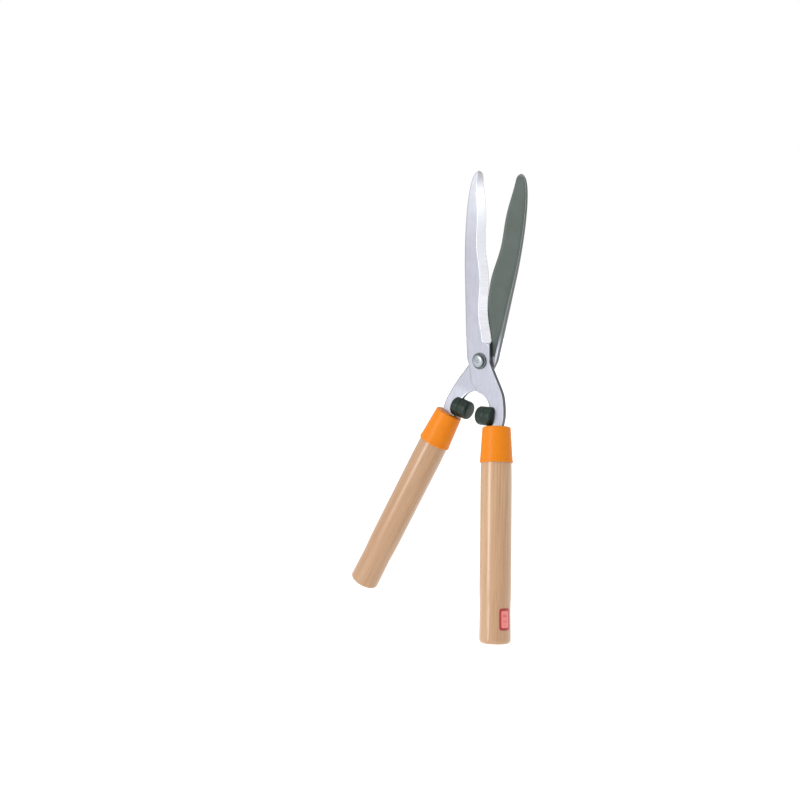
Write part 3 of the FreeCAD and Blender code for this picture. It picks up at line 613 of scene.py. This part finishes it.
def makeLabel(name, side):
    # rows go down the grip and narrow in a quarter circle at each end
    b = labelShape
    depth = np.linspace(b["top"], b["bottom"], 90)
    toEnd = np.minimum(depth - b["top"], b["bottom"] - depth)
    inset = b["corner"] - np.clip(toEnd, 0, b["corner"])
    half = b["halfArc"] - b["corner"] + np.sqrt(b["corner"] ** 2 - inset ** 2)
    out = np.concatenate([np.linspace(-1, 1, 40), np.linspace(1, -1, 12)])
    lift = np.concatenate([[0.06], np.full(38, b["thickness"]), [0.06], np.zeros(12)]) + b["lift"]
    arc = half[:, None] * out[None]
    radius = gripRadius(depth)[:, None] + lift[None]
    angle = b["turn"] + arc / gripRadius(depth)[:, None]
    height = -depth[:, None] + 0 * angle
    local = np.stack([radius * np.cos(angle), radius * np.sin(angle), height], -1)
    unrolled = np.stack([arc, -height, 0 * arc], -1).reshape(-1, 3)
    middle = (0, (b["top"] + b["bottom"]) / 2, 0)
    attributes = {"printed": (unrolled - middle) * mm}
    return tubeMesh(name, inFrame(local, handlePlace(side)), True, attributes)


# Materials. Colours are given as sRGB out of 255; a small kit below turns them into nodes.

def colour(red, green, blue):
    # sRGB to linear by the standard's two-part curve
    values = np.array([red, green, blue]) / 255
    linear = np.where(values <= 0.04045, values / 12.92, ((values + 0.055) / 1.055) ** 2.4)
    return (*linear.tolist(), 1.0)


# A principled material. The values go on the shader's own sockets, with _ for a space.
def newMaterial(name, base, roughness, **values):
    material = bpy.data.materials.new(name)
    material.use_nodes = True
    shader = material.node_tree.nodes["Principled BSDF"]
    shader.inputs["Base Color"].default_value = base
    shader.inputs["Roughness"].default_value = roughness
    for label, value in values.items():
        shader.inputs[label.replace("_", " ")].default_value = value
    return material, material.node_tree, shader


def addNode(tree, kind, inputs=None, **settings):
    # settings go on the node itself; inputs are values, or sockets to link from
    node = tree.nodes.new("ShaderNode" + kind)
    for label, value in settings.items():
        setattr(node, label, value)
    for key, value in (inputs or {}).items():
        if isinstance(value, bpy.types.NodeSocket):
            tree.links.new(value, node.inputs[key])
        else:
            node.inputs[key].default_value = value
    return node


# first x (1 - factor) + second x factor, for colours
def mixed(tree, factor, first, second):
    inputs = {0: factor, 6: first, 7: second}
    return addNode(tree, "Mix", inputs, data_type="RGBA").outputs[2]


# one step of arithmetic on numbers
def calculated(tree, operation, first, second=0.0, third=0.0):
    return addNode(tree, "Math", {0: first, 1: second, 2: third}, operation=operation).outputs[0]


# smoothStep from low to high, stretched to run from toLow to toHigh
def ranged(tree, value, low, high, toLow=0.0, toHigh=1.0):
    inputs = {0: value, 1: low, 2: high, 3: toLow, 4: toHigh}
    return addNode(tree, "MapRange", inputs, interpolation_type="SMOOTHSTEP").outputs[0]


# a value that the piece's own vertices hold
def attribute(tree, name, output="Fac"):
    return addNode(tree, "Attribute", attribute_name=name).outputs[output]


# noise at a place that is first stretched along its axes
def noise(tree, place, scale, detail=3.0, roughness=0.5, stretch=(1, 1, 1)):
    spread = addNode(tree, "Mapping", {"Vector": place, "Scale": stretch}).outputs[0]
    inputs = {"Vector": spread, "Scale": scale, "Detail": detail, "Roughness": roughness}
    return addNode(tree, "TexNoise", inputs).outputs["Fac"]


def objectPlace(tree):
    return addNode(tree, "TexCoord").outputs["Object"]


# normal tilted by the slope of a height of up to distance metres
def bumped(tree, shader, height, distance, strength):
    bump = addNode(tree, "Bump", {"Height": height, "Distance": distance, "Strength": strength})
    tree.links.new(bump.outputs[0], shader.inputs["Normal"])


bladeLook = {
    # the tip colour is a painted highlight that lightens the face towards the tip
    "face": colour(165, 167, 177), "streak": colour(150, 152, 163), "tip": colour(188, 190, 198),
    # the upper ground colour is painted shade that darkens the bevel towards the top, offsetting the key light's
    # reflection
    "ground": colour(211, 212, 217), "groundTopShade": colour(160, 161, 166),
    "groundLine": colour(180, 182, 190), "burr": colour(150, 146, 146), "lines": 1300.0,
    "coat": colour(50, 60, 55), "coatLight": colour(66, 76, 71),
    # the side colour is painted shade on the plate's sides
    "side": colour(94, 96, 98), "meeting": colour(96, 101, 99),
}


def bladeMaterial():
    # bare pressed steel; a dark coating inside the hollow, a cross-ground bevel by the edge; painted
    # shade on the plate's sides and on the bevel towards the top, and a painted highlight towards the tip
    look = bladeLook
    material, tree, shader = newMaterial("bladeSteel", look["face"], 0.34, Metallic=0.85)
    place = attribute(tree, "place", "Vector")
    rolled = noise(tree, place, 60.0, 4.0, 0.6, (6, 1, 1))
    clouds = noise(tree, objectPlace(tree), 90.0, 3.0)
    lines = noise(tree, place, look["lines"], 2.0, 0.6, (0.06, 1, 0.04))
    base = mixed(tree, ranged(tree, rolled, 0.35, 0.8, 0.0, 0.6), look["face"], look["streak"])
    apart = addNode(tree, "SeparateXYZ", {0: place}).outputs
    # painted highlight: the face lightens from 110 to 200 mm up the blade
    base = mixed(tree, ranged(tree, apart[1], 0.11, 0.2), base, look["tip"])
    base = mixed(tree, attribute(tree, "meeting"), base, look["meeting"])
    # painted shade: the plate's sides and rounded corners turn darker, as in shadow
    base = mixed(tree, ranged(tree, attribute(tree, "paintedSideShade"), 0.2, 0.7), base, look["side"])
    bright = mixed(tree, ranged(tree, lines, 0.3, 0.7, 0.0, 0.5), look["ground"], look["groundLine"])
    nicks = noise(tree, place, 700.0, 1.0, 0.5, (0, 1, 0))
    burr = calculated(tree, "MULTIPLY", ranged(tree, apart[2], 0.0003, 0.0006, 1.0, 0.0),
                      ranged(tree, nicks, 0.4, 0.55, 0.25, 0.9))
    # painted shade: the bevel darkens from 40 to 165 mm up, offsetting the key light's reflection there
    bright = mixed(tree, ranged(tree, apart[1], 0.04, 0.165), bright, look["groundTopShade"])
    bright = mixed(tree, burr, bright, look["burr"])
    groundShare = ranged(tree, attribute(tree, "ground"), 0.45, 0.75)
    base = mixed(tree, groundShare, base, bright)
    coatShare = ranged(tree, attribute(tree, "coat"), 0.25, 0.75)
    base = mixed(tree, coatShare, base, mixed(tree, clouds, look["coat"], look["coatLight"]))
    tree.links.new(base, shader.inputs["Base Color"])
    metal = calculated(tree, "MULTIPLY_ADD", coatShare, -0.7, 0.85)
    tree.links.new(metal, shader.inputs["Metallic"])
    rough = calculated(tree, "MULTIPLY_ADD", clouds, 0.1, 0.28)
    rough = calculated(tree, "MULTIPLY_ADD", coatShare, 0.1, rough)
    tree.links.new(rough, shader.inputs["Roughness"])
    height = calculated(tree, "MULTIPLY", lines, groundShare)
    height = calculated(tree, "MULTIPLY_ADD", rolled, 0.25, height)
    bumped(tree, shader, height, 0.00004, 0.5)
    return material


woodLook = {
    "light": colour(176, 142, 107), "middle": colour(160, 126, 90), "dark": colour(128, 93, 60),
    "pore": colour(108, 74, 49), "blush": colour(160, 119, 88), "rings": 372.0,
}


def woodMaterial(name, shift, deeper):
    # straight beech-like grain: rings round a heart well outside the grip, drawn out along it
    look = woodLook
    material, tree, shader = newMaterial(name, look["middle"], 0.42, Coat_Weight=0.9,
                                         Coat_Roughness=0.26, Specular_IOR_Level=0.25)
    grain = attribute(tree, "grain", "Vector")
    moved = addNode(tree, "Mapping", {"Vector": grain, "Location": (0.055 + shift, 0.02, shift * 3),
                                      "Rotation": (0.012, -0.02, 0)}).outputs[0]
    warp = noise(tree, moved, 16.0, 2.0, 0.5, (1, 1, 0.12))
    parts = addNode(tree, "SeparateXYZ", {0: moved})
    squares = [calculated(tree, "POWER", parts.outputs[axis], 2.0) for axis in (0, 1)]
    across = calculated(tree, "POWER", calculated(tree, "ADD", *squares), 0.5)
    rings = calculated(tree, "MULTIPLY_ADD", across, look["rings"], calculated(tree, "MULTIPLY", warp, 2.2))
    wave = calculated(tree, "FRACT", rings)
    late = ranged(tree, wave, 0.35, 1.0)
    fibres = noise(tree, moved, 520.0, 3.0, 0.65, (1, 1, 0.03))
    flecks = noise(tree, moved, 1500.0, 2.0, 0.5, (1, 1, 0.035))
    base = mixed(tree, calculated(tree, "MULTIPLY", late, 0.42), look["light"], look["middle"])
    base = mixed(tree, ranged(tree, fibres, 0.35, 0.75, 0.0, 0.42), base, look["dark"])
    base = mixed(tree, ranged(tree, flecks, 0.62, 0.75, 0.0, 0.35), base, look["pore"])
    broad = noise(tree, moved, 9.0, 2.0, 0.5, (1, 1, 0.25))
    base = mixed(tree, ranged(tree, broad, 0.35, 0.65, 0.0, 0.6), base, look["blush"])
    base = mixed(tree, deeper, base, look["dark"])
    tree.links.new(base, shader.inputs["Base Color"])
    bumped(tree, shader, fibres, 0.00003, 0.35)
    return material


ferruleLook = {"base": colour(202, 115, 3), "shade": colour(199, 112, 3)}


def ferruleMaterial():
    # moulded polypropylene: a soft sheen with a very fine mottling
    look = ferruleLook
    material, tree, shader = newMaterial("ferrulePlastic", look["base"], 0.4, Subsurface_Weight=0.08,
                                         Subsurface_Scale=0.002, Specular_IOR_Level=0.2)
    place = attribute(tree, "moulded", "Vector")
    mottle = noise(tree, place, 220.0, 3.0)
    tree.links.new(mixed(tree, ranged(tree, mottle, 0.35, 0.7), look["base"], look["shade"]),
                   shader.inputs["Base Color"])
    bumped(tree, shader, noise(tree, place, 2600.0, 2.0), 0.00002, 0.35)
    return material


def rubberMaterial():
    # dark green rubber, dull, with a faint bloom
    material, tree, shader = newMaterial("bumperRubber", colour(20, 36, 30), 0.4, Specular_IOR_Level=0.3)
    place = objectPlace(tree)
    bloom = noise(tree, place, 180.0, 4.0, 0.6)
    base = mixed(tree, ranged(tree, bloom, 0.4, 0.75), colour(11, 28, 20), colour(20, 40, 32))
    tree.links.new(base, shader.inputs["Base Color"])
    tree.links.new(calculated(tree, "MULTIPLY_ADD", bloom, 0.16, 0.28), shader.inputs["Roughness"])
    bumped(tree, shader, noise(tree, place, 1800.0, 2.0), 0.00004, 0.4)
    return material


def steelMaterial(name, light, dark, roughness, metallic=0.9):
    # plated or blackened steel: two tones in small clouds, and fine handling marks
    material, tree, shader = newMaterial(name, light, roughness, Metallic=metallic)
    place = objectPlace(tree)
    clouds = noise(tree, place, 240.0, 4.0, 0.6)
    marks = noise(tree, place, 1500.0, 2.0, 0.5, (1, 1, 0.15))
    tree.links.new(mixed(tree, ranged(tree, clouds, 0.35, 0.7), light, dark), shader.inputs["Base Color"])
    tree.links.new(calculated(tree, "MULTIPLY_ADD", marks, 0.14, roughness - 0.07),
                   shader.inputs["Roughness"])
    bumped(tree, shader, marks, 0.00003, 0.3)
    return material


def nylonMaterial():
    # milky nylon, faintly cloudy
    material, tree, shader = newMaterial("insertNylon", colour(214, 216, 210), 0.4, Subsurface_Weight=0.2,
                                         Subsurface_Scale=0.001)
    place = objectPlace(tree)
    tone = mixed(tree, noise(tree, place, 400.0), colour(205, 207, 201), colour(222, 223, 218))
    tree.links.new(tone, shader.inputs["Base Color"])
    return material


labelLook = {
    "frame": colour(142, 20, 26), "panel": colour(208, 112, 106), "bar": colour(180, 70, 70),
    "half": (0.0045, 0.0086), "corner": 0.0014,
}


def labelMaterial():
    # red film with a pale rounded panel and two blank bars, by the rounded box's distance rule
    look = labelLook
    material, tree, shader = newMaterial("labelFilm", look["frame"], 0.3, Coat_Weight=0.4,
                                         Coat_Roughness=0.1)
    parts = addNode(tree, "SeparateXYZ", {0: attribute(tree, "printed", "Vector")})
    sides = []
    for axis in (0, 1):
        size = calculated(tree, "ABSOLUTE", parts.outputs[axis])
        over = calculated(tree, "SUBTRACT", size, look["half"][axis] - look["corner"])
        sides.append(calculated(tree, "POWER", calculated(tree, "MAXIMUM", over, 0.0), 2.0))
    distance = calculated(tree, "POWER", calculated(tree, "ADD", *sides), 0.5)
    inside = ranged(tree, distance, look["corner"] - 0.00008, look["corner"] + 0.00008, 1.0, 0.0)
    base = mixed(tree, inside, look["frame"], look["panel"])
    for middle, thick, long in ((-0.0035, 0.0010, 0.0030), (0.0022, 0.0006, 0.0024)):
        high = calculated(tree, "ABSOLUTE", calculated(tree, "SUBTRACT", parts.outputs[1], middle))
        wide = calculated(tree, "ABSOLUTE", parts.outputs[0])
        bar = calculated(tree, "MULTIPLY", calculated(tree, "LESS_THAN", high, thick),
                         calculated(tree, "LESS_THAN", wide, long))
        base = mixed(tree, calculated(tree, "MULTIPLY", bar, 0.7), base, look["bar"])
    tree.links.new(base, shader.inputs["Base Color"])
    return material


steel, rubber = bladeMaterial(), rubberMaterial()
ferrulePlastic = ferruleMaterial()
wood = {1: woodMaterial("rightWood", 0.013, 0.0), -1: woodMaterial("leftWood", -0.013, 0.2)}
zinc = steelMaterial("zincPlate", colour(150, 157, 160), colour(132, 140, 144), 0.36)
blackened = steelMaterial("blackenedSteel", colour(92, 98, 100), colour(74, 80, 84), 0.4, 0.8)
nylon, film = nylonMaterial(), labelMaterial()
print("materials:", len(bpy.data.materials))


# Assembly of the pieces, each riding on its half and standing in for its CAD node.

for side, place in ((1, "front"), (-1, "rear")):
    half, hand = halfName[side], handName[side]
    finishPiece(makeBlade(place + "Blade", side), steel, half, "blade_steel", place + "_blade")
    finishPiece(makeFerrule(hand + "Ferrule", side), ferrulePlastic, half, "ferrule_plastic",
                hand + "_ferrule")
    finishPiece(makeGrip(hand + "Grip", side), wood[side], half, "handle_wood", hand + "_handle")
    finishPiece(makeBumper(hand + "Bumper", side), rubber, half, "bumper_rubber", hand + "_bumper")
frontSeat = -pivotShape["face"] - pivotShape["washer"]
bolted = [
    (makeLabel("handleLabel", 1), film, "label_film", "handle_label"),
    (makeBolt("pivotBolt"), zinc, "fastener_steel", "pivot_bolt"),
    (makeNut("pivotNut"), zinc, "fastener_steel", "pivot_nut"),
    (makeWasher("frontWasher", frontSeat), blackened, "dark_steel", "front_washer"),
    (makeWasher("rearWasher", pivotShape["face"]), blackened, "dark_steel", "rear_washer"),
    (makeSpringWasher("springWasher"), blackened, "dark_steel", "spring_washer"),
    (makeInsert("nutInsert"), nylon, "insert_nylon", "nut_insert"),
]
for piece, material, slot, node in bolted:
    finishPiece(piece, material, "right_half", slot, node)
for node in ("right_bumper_pin", "left_bumper_pin"):
    for slot in bpy.data.objects[node].material_slots:
        slot.material = zinc


# Camera, floor and light. The camera's place is the viewing angle, kept as location and target in mm.

cameraView = {
    "location": (572.44, -804.85, 301.42), "target": (-165.44, 39.17, 125.47), "roll": -1.256,
    "lens": 42.99, "sensor": 36,
}
lookTowards = Vector(cameraView["target"]) - Vector(cameraView["location"])
turned = lookTowards.to_track_quat("-Z", "Y") @ Quaternion((0, 0, 1), math.radians(cameraView["roll"]))
cameraData = bpy.data.cameras.new("camera")
cameraData.lens, cameraData.sensor_width = cameraView["lens"], cameraView["sensor"]
cameraData.clip_start, cameraData.clip_end = 0.05, 20
camera = bpy.data.objects.new("camera", cameraData)
camera.location = Vector(cameraView["location"]) * mm
camera.rotation_euler = turned.to_euler()
bpy.context.scene.collection.objects.link(camera)
bpy.context.scene.camera = camera

studio = {
    "world": 1.0, "floorDrop": 0.02, "floorSize": 6.0, "floorTone": colour(252, 252, 252), "glow": 0.35,
    "aim": (-0.045, 0.02, 0.1),
    "lights": [("keyLight", (-0.5, -1.7, 0.7), (0.26, 1.3), 17),
               ("topLight", (0.1, -0.3, 2.0), (1.2, 1.2), 3)],
}
world = bpy.data.worlds.new("studioWorld")
world.use_nodes = True
sky = world.node_tree.nodes["Background"]
sky.inputs["Color"].default_value = (1, 1, 1, 1)
sky.inputs["Strength"].default_value = studio["world"]
bpy.context.scene.world = world
bpy.context.scene.view_settings.view_transform = "Standard"

reach = studio["floorSize"] / 2
floorHeight = cadBounds[0][2] - studio["floorDrop"]
corners = [(x * reach, y * reach, floorHeight) for x, y in ((-1, -1), (1, -1), (1, 1), (-1, 1))]
floorMesh = bpy.data.meshes.new("floor")
floorMesh.from_pydata(corners, [], [(0, 1, 2, 3)])
floor = bpy.data.objects.new("floor", floorMesh)
bpy.context.scene.collection.objects.link(floor)
floorMaterial, _, floorShader = newMaterial("floorPaper", studio["floorTone"], 0.9,
                                            Emission_Color=(1, 1, 1, 1), Emission_Strength=studio["glow"])
floorMesh.materials.append(floorMaterial)

target = Vector(studio["aim"])
for name, spot, (wide, high), power in studio["lights"]:
    lamp = bpy.data.lights.new(name, "AREA")
    lamp.shape = "RECTANGLE"
    lamp.size, lamp.size_y = wide, high
    lamp.energy = power
    fixture = bpy.data.objects.new(name, lamp)
    fixture.location = spot
    fixture.rotation_euler = (target - Vector(spot)).to_track_quat("-Z", "Y").to_euler()
    bpy.context.scene.collection.objects.link(fixture)
print("studio ready")
